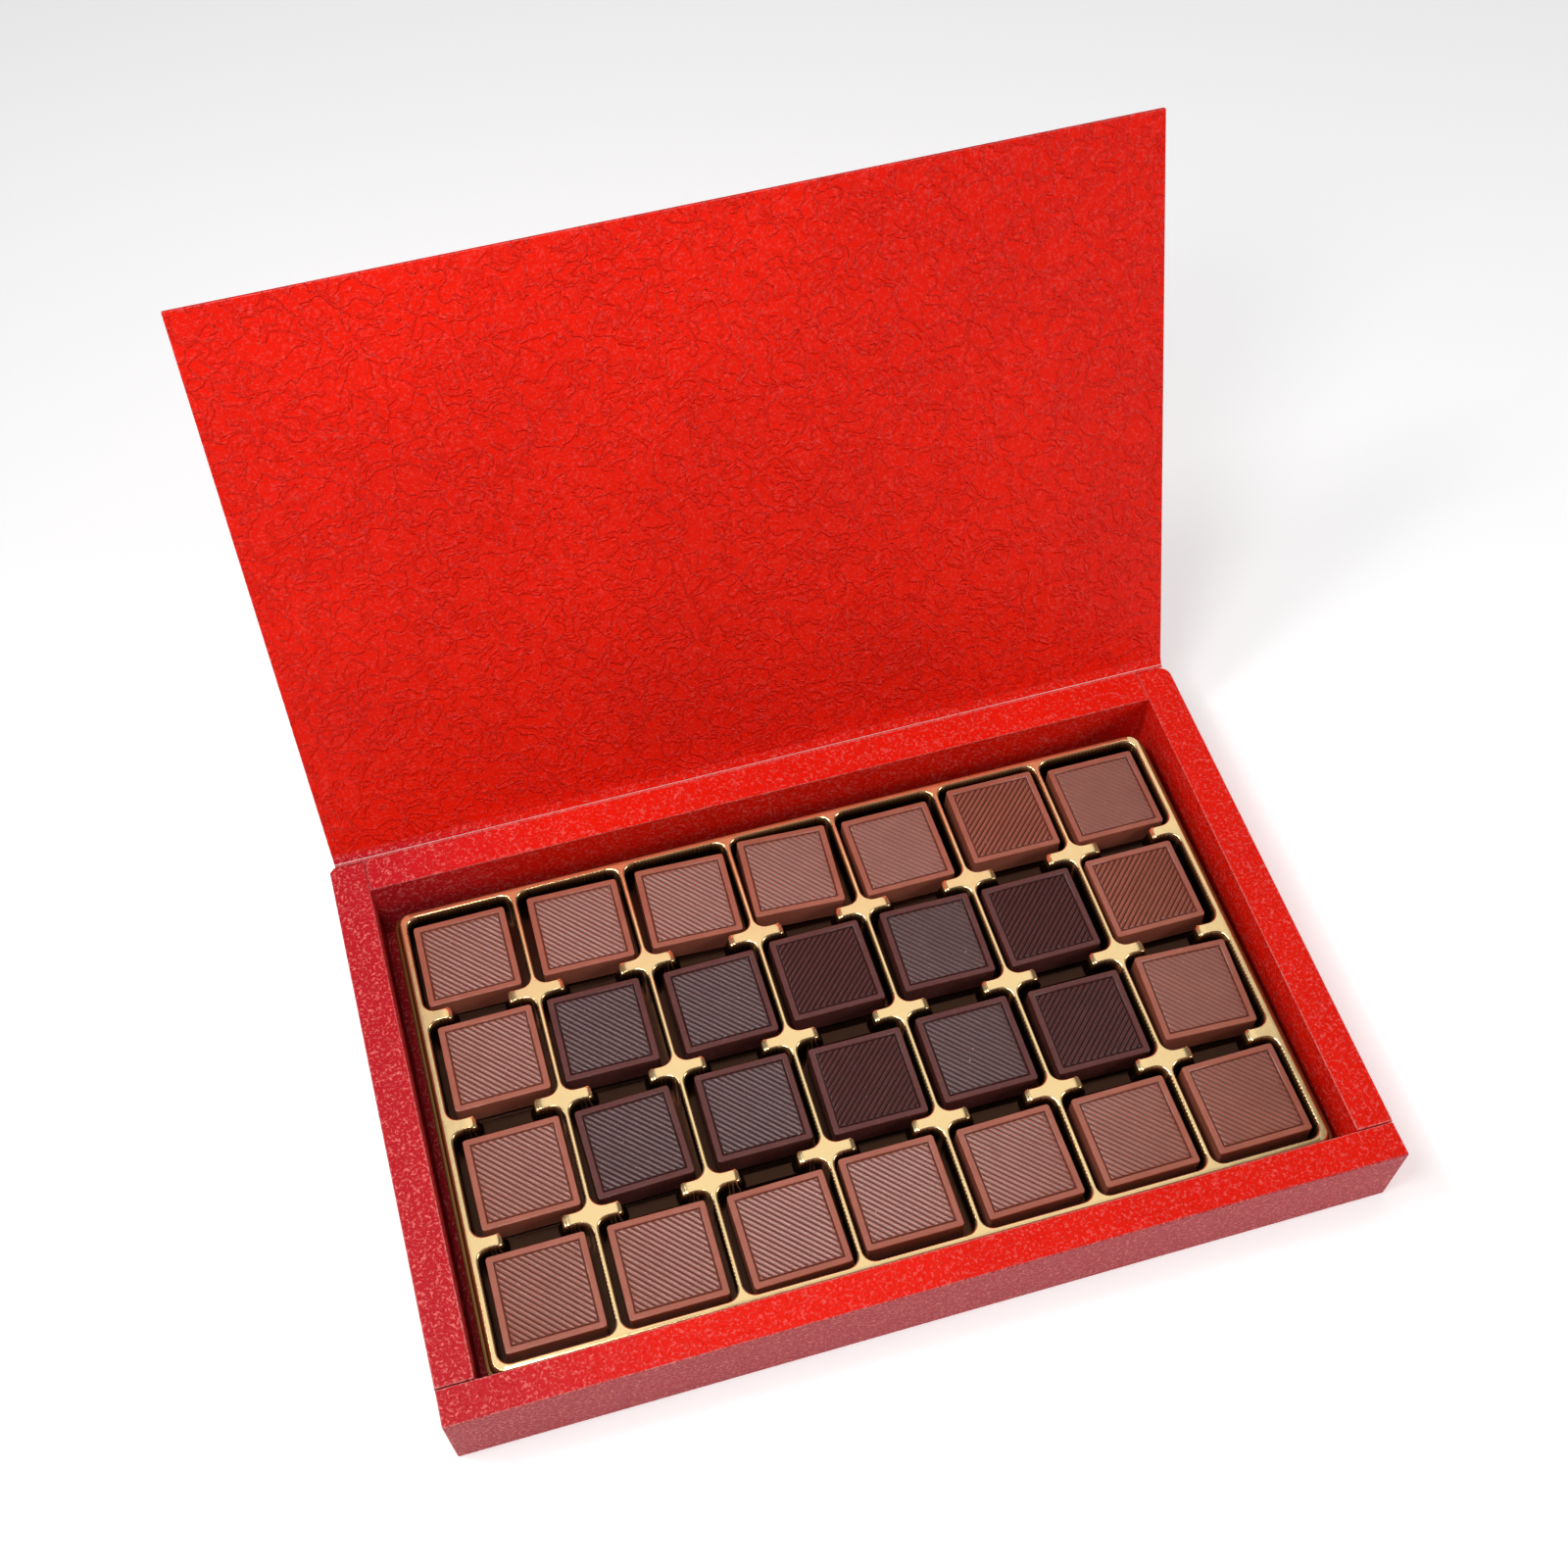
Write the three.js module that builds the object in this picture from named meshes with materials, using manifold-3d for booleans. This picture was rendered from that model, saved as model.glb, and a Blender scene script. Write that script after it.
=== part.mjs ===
// A flat gift box of square chocolates, open: a wide-walled red carton with a flap lid on its
// back edge, a gold formed tray, and one chocolate in each of the tray's pockets.
// Millimetres, +Z up, +Y towards the hinge. The origin is the middle of the carton's underside.
import * as THREE from "three";
import { mergeVertices } from "three/addons/utils/BufferGeometryUtils.js";
import Module from "manifold-3d";

const wasm = await Module();
wasm.setup();

// The carton.
const CARTON_WIDTH = 280;
const CARTON_LENGTH = 182.6;
const CARTON_HEIGHT = 28.7;
const BOARD = 1.6;
const SIDE_WALL = 11;
const FRONT_WALL = 10.6;
const BACK_WALL = 11.6;
const BACK_SPLAY = 1.75;
const LEFT_CORNER_CUT = 1.5;
const RIGHT_CORNER_ROUND = 4;
const FLAP_RISE = 0.4;
const FLAP_SIDE_GAP = 0.6;
const SEAM_WIDTH = 0.6;
const SEAM_DEPTH = 0.5;

// The lid: a narrow strip between two creases, then the panel.
const LID_WIDTH = 279.8;
const LID_LENGTH = 178.4;
const LID_BOARD = 1.5;
const STRIP_LENGTH = 3.3;
const STRIP_BOARD = 1;
const STRIP_START = 0.55;
const STRIP_RISE_DEG = 51.3;
const LID_RISE_DEG = 68.3;

// The tray.
const COLUMNS = 7;
const ROWS = 4;
const PITCH_X = 35.17;
const PITCH_Y = 37.78;
const TRAY_MIDDLE_Y = -2.7;
const TRAY_TOP = 20.8;
const DIVIDER = 1.7;
const ROW_BAR = 4;
const BORDER = 2.1;
const BORDER_DRAFT = 0.8;
const BORDER_CORNER = 3.6;
const LEDGE = 1.3;
const LEDGE_DROP = 3;
const POCKET_CORNER = 3.4;
const POCKET_DEPTH = 9.3;
const POCKET_DRAFT = 0.1;
const ARM_REACH = 8.63;
const ARM_ROUND_LENGTH = 2.4;
const ARM_ROUND_DROP = 1.1;
const BRIDGE_DROP = 6.8;
const BRIDGE_DRAFT = 1.8;
const CLEARANCE = 0.3;

// The chocolates.
const CHOCOLATE_SIDE = 29;
const CHOCOLATE_DRAFT = 0.25;
const CHOCOLATE_CORNER = 0.9;
const CHOCOLATE_THICKNESS = 8.1;
const FRAME_WIDTH = 2.2;
const FIELD_GAP = 0.6;
const FIELD_DEPTH = 0.6;
const RIDGE_PITCH = 1.48;
const RIDGE_TOP = -0.08;
const RIDGE_VALLEY = -0.5;
const TILT_DEG = 0.35;
const TURN_DEG = 0.6;
const SIZE_SPREAD = 0.004;
const DRIFT = 0.9;

// One letter per pocket, back row first: m is milk chocolate, d is dark.
const FILLING = ["mmmmmmm", "mdddddm", "mdddddm", "mmmmmmm"];
// Where the ridges run from back left to front right the mark is b, and the other way it is f.
const RIDGE_RUN = ["bbbbbfb", "bbbfbff", "bbbfbfb", "bbbbbbb"];
// Chocolates that lie visibly turned in their pockets, in degrees.
const TURNED = { r1_c2: -1, r1_c3: -2, r1_c4: -3, r2_c5: -1, r3_c2: 1.5, r3_c7: -2.5, r4_c3: 1, r4_c5: 1 };

const rad = THREE.MathUtils.degToRad;

const finish = (color, roughness, metalness = 0) =>
  new THREE.MeshStandardMaterial({ color, roughness, metalness });

const redCard = finish(0xc8180c, 0.5);
const goldFoil = finish(0xe2c084, 0.25, 0.8);
const milkChocolate = finish(0x96604c, 0.45);
const darkChocolate = finish(0x573638, 0.4);

// A three.js geometry as a solid that can be cut and joined.
function solidFrom(geometry) {
  const bare = geometry.index ? geometry.toNonIndexed() : geometry.clone();
  bare.deleteAttribute("normal");
  bare.deleteAttribute("uv");
  const merged = mergeVertices(bare, 1e-4);
  return new wasm.Manifold(
    new wasm.Mesh({
      numProp: 3,
      vertProperties: new Float32Array(merged.attributes.position.array),
      triVerts: new Uint32Array(merged.index.array),
    }),
  );
}

// The solid as a mesh with its own material.
function meshFrom(name, solid, material) {
  const { vertProperties, triVerts } = solid.getMesh();
  const geometry = new THREE.BufferGeometry();
  geometry.setAttribute("position", new THREE.BufferAttribute(new Float32Array(vertProperties), 3));
  geometry.setIndex(new THREE.BufferAttribute(new Uint32Array(triVerts), 1));
  geometry.computeVertexNormals();
  const mesh = new THREE.Mesh(geometry, material.clone());
  mesh.name = name;
  return mesh;
}

// The corner points of a rectangle about the middle, each corner turned in steps.
function roundedOutline(width, length, radius, steps) {
  const points = [];
  for (let corner = 0; corner < 4; corner++) {
    const sideX = corner === 0 || corner === 3 ? 1 : -1;
    const sideY = corner < 2 ? 1 : -1;
    for (let step = 0; step <= steps; step++) {
      const angle = ((corner + step / steps) * Math.PI) / 2;
      points.push(
        new THREE.Vector2(
          sideX * (width / 2 - radius) + radius * Math.cos(angle),
          sideY * (length / 2 - radius) + radius * Math.sin(angle),
        ),
      );
    }
  }
  return points;
}

// An outline extruded from one height to another.
function prism(points, bottom, top) {
  const shape = new THREE.Shape(points);
  const geometry = new THREE.ExtrudeGeometry(shape, { depth: top - bottom, bevelEnabled: false, steps: 1 });
  return geometry.translate(0, 0, bottom);
}

// A rounded block whose lower outline is larger than its upper one by grow on each side.
function draftedBlock({ width, length, radius, steps, bottom, top, grow }) {
  const geometry = prism(roundedOutline(width, length, radius, steps), bottom, top);
  const position = geometry.attributes.position;
  for (let i = 0; i < position.count; i++) {
    if (position.getZ(i) > (bottom + top) / 2) continue;
    position.setX(i, (position.getX(i) * (width + 2 * grow)) / width);
    position.setY(i, (position.getY(i) * (length + 2 * grow)) / length);
  }
  return geometry;
}

// A block between two corners.
function box(x0, x1, y0, y1, z0, z1) {
  return new THREE.BoxGeometry(x1 - x0, y1 - y0, z1 - z0).translate((x0 + x1) / 2, (y0 + y1) / 2, (z0 + z1) / 2);
}

// A square block about the middle.
const squareBlock = (side, bottom, top) => box(-side / 2, side / 2, -side / 2, side / 2, bottom, top);

// Half the carton's width at a place along its length, because the side walls open out to the back.
const halfWidthAt = (y) => CARTON_WIDTH / 2 + BACK_SPLAY * (y / CARTON_LENGTH + 0.5);

function cartonOutline() {
  const front = -CARTON_LENGTH / 2;
  const back = CARTON_LENGTH / 2;
  const right = halfWidthAt(back);
  const points = [new THREE.Vector2(-halfWidthAt(front), front), new THREE.Vector2(halfWidthAt(front), front)];
  const steps = 4;
  for (let step = 0; step <= steps; step++) {
    const angle = ((step / steps) * Math.PI) / 2;
    points.push(
      new THREE.Vector2(
        right - RIGHT_CORNER_ROUND * (1 - Math.cos(angle)),
        back - RIGHT_CORNER_ROUND * (1 - Math.sin(angle)),
      ),
    );
  }
  points.push(new THREE.Vector2(-right + LEFT_CORNER_CUT, back));
  points.push(new THREE.Vector2(-right, back - LEFT_CORNER_CUT));
  return points;
}

// The carton's base: floor, four wide walls, the seams of its folds and the hinge flap on the back wall.
function cartonBase() {
  const innerFront = -CARTON_LENGTH / 2 + FRONT_WALL;
  const innerBack = CARTON_LENGTH / 2 - BACK_WALL;
  const above = CARTON_HEIGHT + 5;
  const cavity = prism(
    [
      new THREE.Vector2(-halfWidthAt(innerFront) + SIDE_WALL, innerFront),
      new THREE.Vector2(halfWidthAt(innerFront) - SIDE_WALL, innerFront),
      new THREE.Vector2(halfWidthAt(innerBack) - SIDE_WALL, innerBack),
      new THREE.Vector2(-halfWidthAt(innerBack) + SIDE_WALL, innerBack),
    ],
    BOARD,
    above,
  );
  let body = solidFrom(prism(cartonOutline(), 0, CARTON_HEIGHT)).subtract(solidFrom(cavity));
  const flapHalf = halfWidthAt(innerBack) - SIDE_WALL - FLAP_SIDE_GAP;
  const flap = box(-flapHalf, flapHalf, innerBack, CARTON_LENGTH / 2, CARTON_HEIGHT - 1, CARTON_HEIGHT + FLAP_RISE);
  body = body.add(solidFrom(flap));
  const groove = CARTON_HEIGHT - SEAM_DEPTH;
  for (const side of [-1, 1]) {
    const inner = halfWidthAt(innerFront) - SIDE_WALL - 1;
    const outer = halfWidthAt(innerFront) + 1;
    const seam = box(inner, outer, innerFront - SEAM_WIDTH / 2, innerFront + SEAM_WIDTH / 2, groove, above);
    if (side < 0) seam.translate(-inner - outer, 0, 0);
    body = body.subtract(solidFrom(seam));
    const slot = box(flapHalf, flapHalf + SEAM_WIDTH, innerBack - 1, CARTON_LENGTH / 2 + 1, groove, above);
    if (side < 0) slot.translate(-2 * flapHalf - SEAM_WIDTH, 0, 0);
    body = body.subtract(solidFrom(slot));
  }
  return body;
}

// The lid panel and its hinge strip, leaning back. The hinge axis is the flap's back edge.
function cartonLid() {
  const stripHalf = halfWidthAt(CARTON_LENGTH / 2 - BACK_WALL) - SIDE_WALL - FLAP_SIDE_GAP;
  const strip = box(-stripHalf, stripHalf, STRIP_START, STRIP_LENGTH + STRIP_BOARD, -STRIP_BOARD, 0);
  strip.rotateX(rad(STRIP_RISE_DEG));
  const panel = box(-LID_WIDTH / 2, LID_WIDTH / 2, 0, LID_LENGTH, -LID_BOARD, 0);
  panel.rotateX(rad(LID_RISE_DEG));
  const rise = rad(STRIP_RISE_DEG);
  panel.translate(0, STRIP_LENGTH * Math.cos(rise), STRIP_LENGTH * Math.sin(rise));
  return solidFrom(strip).add(solidFrom(panel));
}

const pocketX = (column) => (column - (COLUMNS + 1) / 2) * PITCH_X;
const pocketY = (row) => TRAY_MIDDLE_Y + ((ROWS + 1) / 2 - row) * PITCH_Y;

// The space between two arms of a row bar: down to the bridge, with the arms' ends rounded over.
function fingerNotch() {
  const half = PITCH_X / 2 - ARM_REACH;
  const right = [new THREE.Vector2(half - BRIDGE_DRAFT, -BRIDGE_DROP), new THREE.Vector2(half, -ARM_ROUND_DROP)];
  const steps = 3;
  for (let step = 1; step <= steps; step++) {
    const angle = ((step / steps) * Math.PI) / 2;
    right.push(
      new THREE.Vector2(
        half + ARM_ROUND_LENGTH * (1 - Math.cos(angle)),
        -ARM_ROUND_DROP * (1 - Math.sin(angle)),
      ),
    );
  }
  right.push(new THREE.Vector2(half + ARM_ROUND_LENGTH, 1));
  const left = right.map((point) => new THREE.Vector2(-point.x, point.y)).reverse();
  const depth = ROW_BAR + 2;
  const geometry = new THREE.ExtrudeGeometry(new THREE.Shape([...right, ...left]), {
    depth,
    bevelEnabled: false,
  });
  return geometry.translate(0, 0, -depth / 2).rotateX(Math.PI / 2);
}

// The tray: one formed piece with a ledge round its border, a pocket for each chocolate, and row
// bars that are lowered to a bridge where fingers reach in.
function goldTray() {
  const width = COLUMNS * PITCH_X - DIVIDER + 2 * BORDER;
  const length = ROWS * PITCH_Y - ROW_BAR + 2 * BORDER;
  const upper = draftedBlock({
    width,
    length,
    radius: BORDER_CORNER,
    steps: 4,
    bottom: TRAY_TOP - LEDGE_DROP,
    top: TRAY_TOP,
    grow: BORDER_DRAFT,
  });
  const reach = BORDER_DRAFT + LEDGE;
  const lower = prism(
    roundedOutline(width + 2 * reach, length + 2 * reach, BORDER_CORNER + reach, 4),
    BOARD + CLEARANCE,
    TRAY_TOP - LEDGE_DROP,
  );
  let tray = solidFrom(upper).add(solidFrom(lower));
  for (let row = 1; row <= ROWS; row++) {
    for (let column = 1; column <= COLUMNS; column++) {
      const pocket = draftedBlock({
        width: PITCH_X - DIVIDER,
        length: PITCH_Y - ROW_BAR,
        radius: POCKET_CORNER,
        steps: 3,
        bottom: -POCKET_DEPTH,
        top: 0,
        grow: -POCKET_DRAFT,
      });
      const rim = prism(roundedOutline(PITCH_X - DIVIDER, PITCH_Y - ROW_BAR, POCKET_CORNER, 3), 0, 1);
      const cutter = solidFrom(pocket).add(solidFrom(rim));
      tray = tray.subtract(cutter.translate([pocketX(column), pocketY(row) - TRAY_MIDDLE_Y, TRAY_TOP]));
    }
  }
  for (let row = 1; row < ROWS; row++) {
    for (let column = 1; column <= COLUMNS; column++) {
      const barY = (pocketY(row) + pocketY(row + 1)) / 2 - TRAY_MIDDLE_Y;
      tray = tray.subtract(solidFrom(fingerNotch()).translate([pocketX(column), barY, TRAY_TOP]));
    }
  }
  return tray;
}

// The field of diagonal ridges, ending square to the chocolate's sides.
function ridgedField() {
  const side = CHOCOLATE_SIDE - 2 * FRAME_WIDTH - 2 * FIELD_GAP;
  const root = -FIELD_DEPTH - 1;
  const count = Math.ceil((side * Math.SQRT2) / RIDGE_PITCH) + 2;
  const start = (-count * RIDGE_PITCH) / 2;
  const points = [new THREE.Vector2(start, root)];
  for (let ridge = 0; ridge < count; ridge++) {
    points.push(new THREE.Vector2(start + ridge * RIDGE_PITCH, RIDGE_VALLEY));
    points.push(new THREE.Vector2(start + (ridge + 0.5) * RIDGE_PITCH, RIDGE_TOP));
  }
  points.push(new THREE.Vector2(-start, RIDGE_VALLEY), new THREE.Vector2(-start, root));
  const reach = 1.5 * side;
  const comb = new THREE.ExtrudeGeometry(new THREE.Shape(points.reverse()), { depth: reach, bevelEnabled: false });
  comb.translate(0, 0, -reach / 2).rotateX(Math.PI / 2).rotateZ(Math.PI / 4);
  return solidFrom(comb).intersect(solidFrom(squareBlock(side, root + 0.5, 1)));
}

// A square chocolate: a raised frame round a sunk field of diagonal ridges, its top at height 0.
function chocolate() {
  const slab = draftedBlock({
    width: CHOCOLATE_SIDE,
    length: CHOCOLATE_SIDE,
    radius: CHOCOLATE_CORNER,
    steps: 1,
    bottom: -CHOCOLATE_THICKNESS,
    top: 0,
    grow: CHOCOLATE_DRAFT,
  });
  const sunk = solidFrom(squareBlock(CHOCOLATE_SIDE - 2 * FRAME_WIDTH, -FIELD_DEPTH, 1));
  return solidFrom(slab).subtract(sunk).add(ridgedField());
}

// A repeatable spread between -1 and 1 for the small differences between chocolates.
function spread(row, column, kind) {
  const value = Math.sin(row * 12.9898 + column * 78.233 + kind * 37.719) * 43758.5453;
  return 2 * (value - Math.floor(value)) - 1;
}

// How a chocolate lies in its pocket: its turn, its tilt, its size and its drift off the middle.
function lie(row, column) {
  const turn = TURNED[`r${row}_c${column}`] ?? TURN_DEG * spread(row, column, 1);
  const size = 1 + SIZE_SPREAD * spread(row, column, 2);
  const footHalf = (CHOCOLATE_SIDE / 2) * size + CHOCOLATE_DRAFT;
  const reach = footHalf * (Math.cos(rad(Math.abs(turn))) + Math.sin(rad(Math.abs(turn))));
  // The furthest drift that stays clear of the pocket's sides and of its round corners.
  const play = (pocketSide) => {
    const pocketHalf = pocketSide / 2 - POCKET_DRAFT;
    const cornerRoom = (POCKET_CORNER - CLEARANCE - CHOCOLATE_CORNER) / Math.SQRT2;
    const cornerReach = footHalf - CHOCOLATE_CORNER - (pocketHalf - POCKET_CORNER);
    return Math.min(DRIFT, pocketHalf - CLEARANCE - reach, cornerRoom - cornerReach);
  };
  return {
    turn,
    size,
    tiltX: TILT_DEG * spread(row, column, 3),
    tiltY: TILT_DEG * spread(row, column, 4),
    x: play(PITCH_X - DIVIDER) * spread(row, column, 5),
    y: play(PITCH_Y - ROW_BAR) * spread(row, column, 6),
  };
}

const giftBox = new THREE.Group();

giftBox.add(meshFrom("carton_base", cartonBase(), redCard));

const hinge = new THREE.Group();
hinge.position.set(0, CARTON_LENGTH / 2, CARTON_HEIGHT + FLAP_RISE);
hinge.add(meshFrom("carton_lid", cartonLid(), redCard));
giftBox.add(hinge);

const filling = new THREE.Group();
filling.position.y = TRAY_MIDDLE_Y;
filling.add(meshFrom("gold_tray", goldTray(), goldFoil));
giftBox.add(filling);

const chocolateShape = chocolate();
const chocolateTop = TRAY_TOP - POCKET_DEPTH + 2 * CLEARANCE + CHOCOLATE_THICKNESS;
for (let row = 1; row <= ROWS; row++) {
  for (let column = 1; column <= COLUMNS; column++) {
    const isMilk = FILLING[row - 1][column - 1] === "m";
    const runsForward = RIDGE_RUN[row - 1][column - 1] === "f";
    const place = lie(row, column);
    const piece = meshFrom(`chocolate_r${row}_c${column}`, chocolateShape, isMilk ? milkChocolate : darkChocolate);
    piece.position.set(pocketX(column) + place.x, pocketY(row) + place.y, chocolateTop);
    piece.rotation.set(rad(place.tiltX), rad(place.tiltY), rad(place.turn + (runsForward ? 90 : 0)));
    piece.scale.set(place.size, place.size, 1);
    giftBox.add(piece);
  }
}

export default giftBox;
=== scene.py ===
"""An open flat gift box of square chocolates: red card, a gold formed tray and moulded chocolates.

Sizes are in millimetres in the box's own frame: the origin is the middle of the carton's
underside, +X runs right along the front edge, +Y runs back to the hinge and +Z is up. A
finished mesh is scaled to metres, and the finishes and the studio are in metres.
"""

from __future__ import annotations

import logging
import math
from dataclasses import dataclass, field
from enum import Enum
from typing import Callable, Iterable, Protocol, Sequence

import bmesh
import bpy
from mathutils import Matrix, Vector, noise

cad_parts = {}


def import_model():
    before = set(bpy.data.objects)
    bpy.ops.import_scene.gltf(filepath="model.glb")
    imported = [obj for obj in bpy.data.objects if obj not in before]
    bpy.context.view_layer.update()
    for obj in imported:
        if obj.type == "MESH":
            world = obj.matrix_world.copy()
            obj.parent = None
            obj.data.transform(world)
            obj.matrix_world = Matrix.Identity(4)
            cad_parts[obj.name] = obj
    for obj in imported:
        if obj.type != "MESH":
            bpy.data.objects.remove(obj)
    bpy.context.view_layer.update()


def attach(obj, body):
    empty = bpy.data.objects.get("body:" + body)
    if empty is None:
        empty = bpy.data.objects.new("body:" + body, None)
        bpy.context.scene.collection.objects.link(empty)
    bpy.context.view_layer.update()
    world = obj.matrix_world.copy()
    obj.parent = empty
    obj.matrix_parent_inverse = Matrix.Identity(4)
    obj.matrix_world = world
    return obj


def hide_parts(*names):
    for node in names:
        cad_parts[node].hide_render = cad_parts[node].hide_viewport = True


MM = 0.001
CARTON = "carton"
LID = "lid"
# The attributes that pieces carry: how rubbed an edge is, and how deep in a groove a point is.
WEAR = "wear"
GROOVE = "groove"
# Millimetres: faces narrower than the first belong to a rounded edge, and places closer than
# the second are taken as touching.
ROUNDED_WIDTH = 0.6
TOUCH = 0.05
# Large odd numbers that scatter a chocolate's row, column and kind of difference.
SCATTER = (12.9898, 78.233, 37.719)
SCATTER_SCALE = 43758.5453
# The Mix node's sockets for colours, which share their names with its other ones.
MIX_INPUTS = (0, 6, 7)
MIX_OUTPUT = 2
log = logging.getLogger("gift_box")

Colour = tuple[float, float, float]
Place = tuple[float, float, float]
Band = tuple[float, float]
Mesh = bmesh.types.BMesh
Vert = bmesh.types.BMVert
Edge = bmesh.types.BMEdge


class Slot(Enum):
    """The record's material slots."""

    CARD = "red_card"
    GOLD = "gold_plastic"
    MILK = "milk_chocolate"
    DARK = "dark_chocolate"


class Kind(Enum):
    """The two sorts of chocolate, by their letter in the filling plan."""

    MILK = "m"
    DARK = "d"


class Run(Enum):
    """Which way a chocolate's ridges run: back left to front right, or the other way."""

    BACK = "b"
    FORWARD = "f"


# Shader maths


class Wire:
    """A socket in a material, with the arithmetic that adds Math nodes."""

    def __init__(self, paint: "Paint", socket: bpy.types.NodeSocket) -> None:
        """Keeps the socket and the material that it belongs to."""
        self.paint = paint
        self.socket = socket

    def math(self, operation: str, *others: "Wire | float") -> "Wire":
        """Adds a Math node that starts from this socket.

        Args:
            operation: Blender's name of the operation.
            others: the other value, if the operation takes one.

        Returns:
            The result.
        """
        values = dict(enumerate((self, *others)))
        return self.paint.node("ShaderNodeMath", {"operation": operation}, values)["Value"]

    def __add__(self, other: "Wire | float") -> "Wire":
        """The sum."""
        return self.math("ADD", other)

    def __sub__(self, other: "Wire | float") -> "Wire":
        """The difference."""
        return self.math("SUBTRACT", other)

    def __mul__(self, other: "Wire | float") -> "Wire":
        """The product."""
        return self.math("MULTIPLY", other)

    def __rsub__(self, other: float) -> "Wire":
        """The difference from a number."""
        node = self.paint.node("ShaderNodeMath", {"operation": "SUBTRACT"}, {0: other, 1: self})
        return node["Value"]

    __radd__ = __add__
    __rmul__ = __mul__

    def band(self, low: float, high: float) -> "Wire":
        """A smooth step from 0 at low to 1 at high, or the other way round."""
        settings = {"interpolation_type": "SMOOTHSTEP"}
        inputs = {"Value": self, "From Min": low, "From Max": high}
        return self.paint.node("ShaderNodeMapRange", settings, inputs)["Result"]


class Made:
    """A node that has been added, whose outputs are read by name."""

    def __init__(self, paint: "Paint", node: bpy.types.Node) -> None:
        """Keeps the node and its material."""
        self.paint = paint
        self.node = node

    def __getitem__(self, name: str) -> Wire:
        """The output of that name."""
        return Wire(self.paint, self.node.outputs[name])


class Paint:
    """A material that is being built from nodes."""

    def __init__(self, name: str) -> None:
        """Starts an empty material.

        Args:
            name: the material's name.
        """
        self.material = bpy.data.materials.new(name)
        self.material.use_nodes = True
        self.tree = self.material.node_tree
        self.tree.nodes.clear()
        self.place = self.node("ShaderNodeTexCoord", {}, {})["Object"]

    def node(self, kind: str, settings: dict, inputs: dict) -> Made:
        """Adds a node of any type.

        Args:
            kind: the node's type name.
            settings: its properties, which are set first.
            inputs: values or Wires, by the socket's name or number.

        Returns:
            The node.
        """
        made = self.tree.nodes.new(kind)
        for name, value in settings.items():
            setattr(made, name, value)
        for name, value in inputs.items():
            socket = made.inputs[name]
            if isinstance(value, Wire):
                self.tree.links.new(value.socket, socket)
            else:
                socket.default_value = value
        return Made(self, made)

    def noise(self, size: float, detail: float = 2, distortion: float = 0, roughness: float = 0.5) -> Wire:
        """A noise, between 0 and 1.

        Args:
            size: how large its blobs are, in metres.
            detail: how many finer layers it has.
            distortion: how far it is warped.
            roughness: how strong the finer layers are.

        Returns:
            The value.
        """
        inputs = {
            "Vector": self.place,
            "Scale": 1 / size,
            "Detail": detail,
            "Roughness": roughness,
            "Distortion": distortion,
        }
        return self.node("ShaderNodeTexNoise", {}, inputs)["Fac"]

    def lines(self, size: float, width: float, detail: float, distortion: float) -> Wire:
        """Winding lines, where a noise comes within that width of its middle value."""
        return (self.noise(size, detail, distortion) - 0.5).math("ABSOLUTE").band(width, 0)

    def specks(self, size: float) -> Wire:
        """The distance to scattered points, about that many metres apart."""
        return self.node("ShaderNodeTexVoronoi", {}, {"Vector": self.place, "Scale": 1 / size})["Distance"]

    def along(self, axis: str) -> Wire:
        """The place along an axis, in metres."""
        return self.node("ShaderNodeSeparateXYZ", {}, {"Vector": self.place})[axis]

    def attribute(self, name: str) -> Wire:
        """A value that the piece carries itself, from 0 to 1."""
        return self.node("ShaderNodeAttribute", {"attribute_name": name}, {})["Fac"]

    def mix(self, factor: Wire | float, first: Wire | Colour, second: Wire | Colour) -> Wire:
        """Mixes two colours.

        Args:
            factor: how much of the second one there is, from 0 to 1.
            first: the colour at 0.
            second: the colour at 1.

        Returns:
            The colour.
        """
        values = [factor, *(v if isinstance(v, Wire) else (*v, 1) for v in (first, second))]
        made = self.node("ShaderNodeMix", {"data_type": "RGBA"}, dict(zip(MIX_INPUTS, values)))
        return Wire(self, made.node.outputs[MIX_OUTPUT])

    def bump(self, height: Wire, depth: float, under: Wire | None = None) -> Wire:
        """A bumped normal.

        Args:
            height: the relief, between 0 and 1.
            depth: how far 1 stands over 0, in metres.
            under: the normal that it is laid over.

        Returns:
            The normal.
        """
        inputs: dict = {"Height": height, "Distance": depth}
        if under is not None:
            inputs["Normal"] = under
        return self.node("ShaderNodeBump", {}, inputs)["Normal"]

    def close(self, **inputs: object) -> bpy.types.Material:
        """Ends the material in a Principled shader.

        Args:
            inputs: the shader's sockets, with _ for a space in a name.

        Returns:
            The material.
        """
        named = {name.replace("_", " "): value for name, value in inputs.items()}
        shader = self.node("ShaderNodeBsdfPrincipled", {}, named)
        self.node("ShaderNodeOutputMaterial", {}, {"Surface": shader["BSDF"]})
        return self.material


# Finishes


class Finish(Protocol):
    """What a piece is covered with."""

    name: str

    def build(self) -> bpy.types.Material:
        """Makes the material."""


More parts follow.
